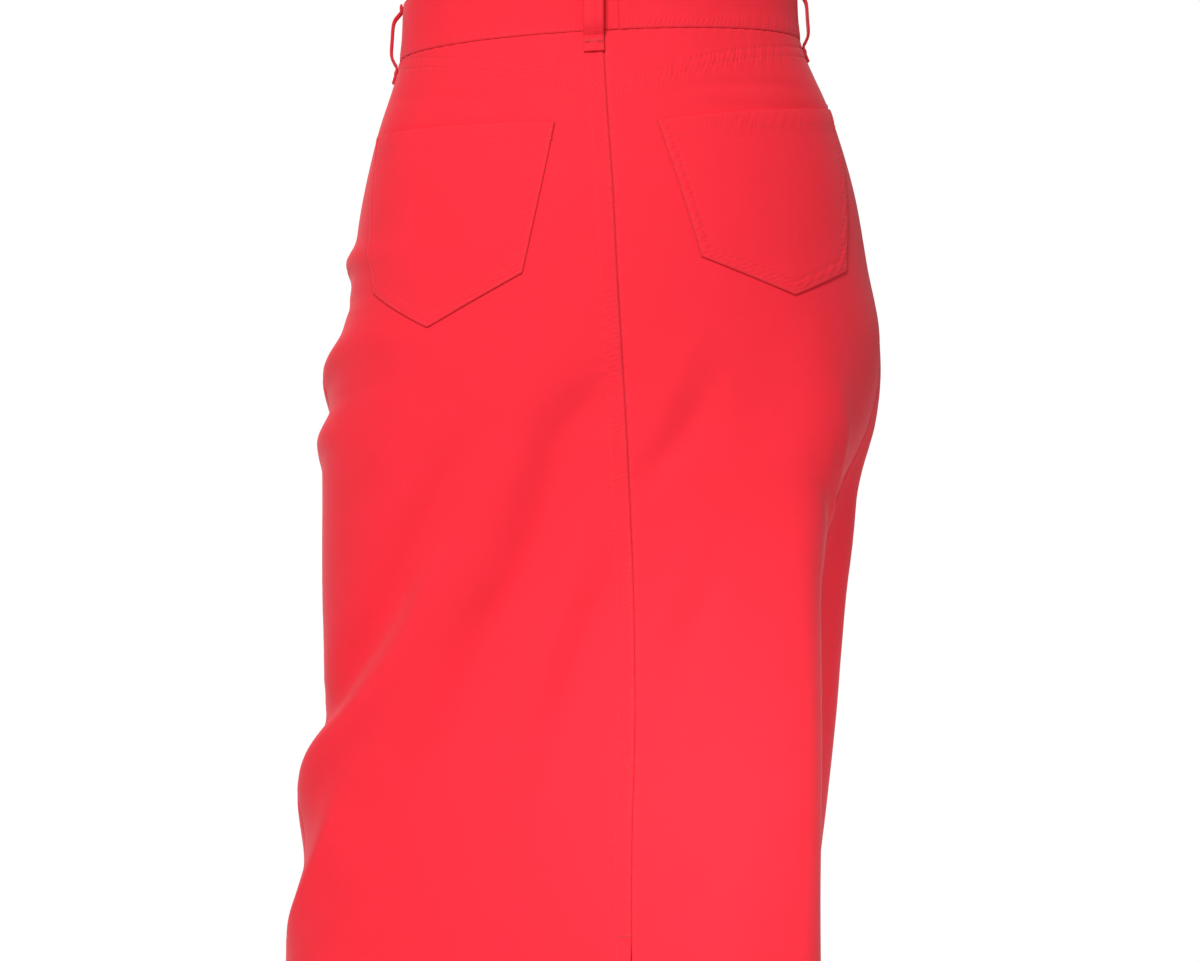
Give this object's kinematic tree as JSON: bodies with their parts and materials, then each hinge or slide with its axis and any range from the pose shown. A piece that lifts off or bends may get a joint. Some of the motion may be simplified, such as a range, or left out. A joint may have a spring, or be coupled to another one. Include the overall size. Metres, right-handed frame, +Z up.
{
  "type": "denim maxi skirt",
  "caption": "Red denim maxi skirt in its worn form, with a waistband, back yoke, patch pockets, belt loops, a front zip fly and an open slit at the centre back.",
  "frame": {"origin": "middle of the waist, level with the seam under the waistband at the side, where the wearer holds the skirt up", "axes": "+Z up along the skirt, -Y towards the front with the fly, +Y towards the back with the pockets, +X towards the wearer's left"},
  "size_m": [0.4124, 0.2716, 0.9689],
  "materials": {
    "red_twill": "soft, fine red denim twill with tone-on-tone stitching",
    "red_tape": "woven red zip tape",
    "nickel": "dull nickel plating"
  },
  "bodies": {
    "root": {"waistband": "red_twill", "back_yoke_left": "red_twill", "back_yoke_right": "red_twill", "back_left": "red_twill", "back_right": "red_twill", "front_left": "red_twill", "front_right": "red_twill", "back_pocket_left": "red_twill", "back_pocket_right": "red_twill", "belt_loop_back": "red_twill", "belt_loop_left": "red_twill", "belt_loop_front_left": "red_twill", "belt_loop_front_right": "red_twill", "belt_loop_right": "red_twill", "fly_shield": "red_twill", "fly_zip": "red_tape", "zip_slider": "nickel", "waist_button": "nickel"}
  },
  "joints": []
}
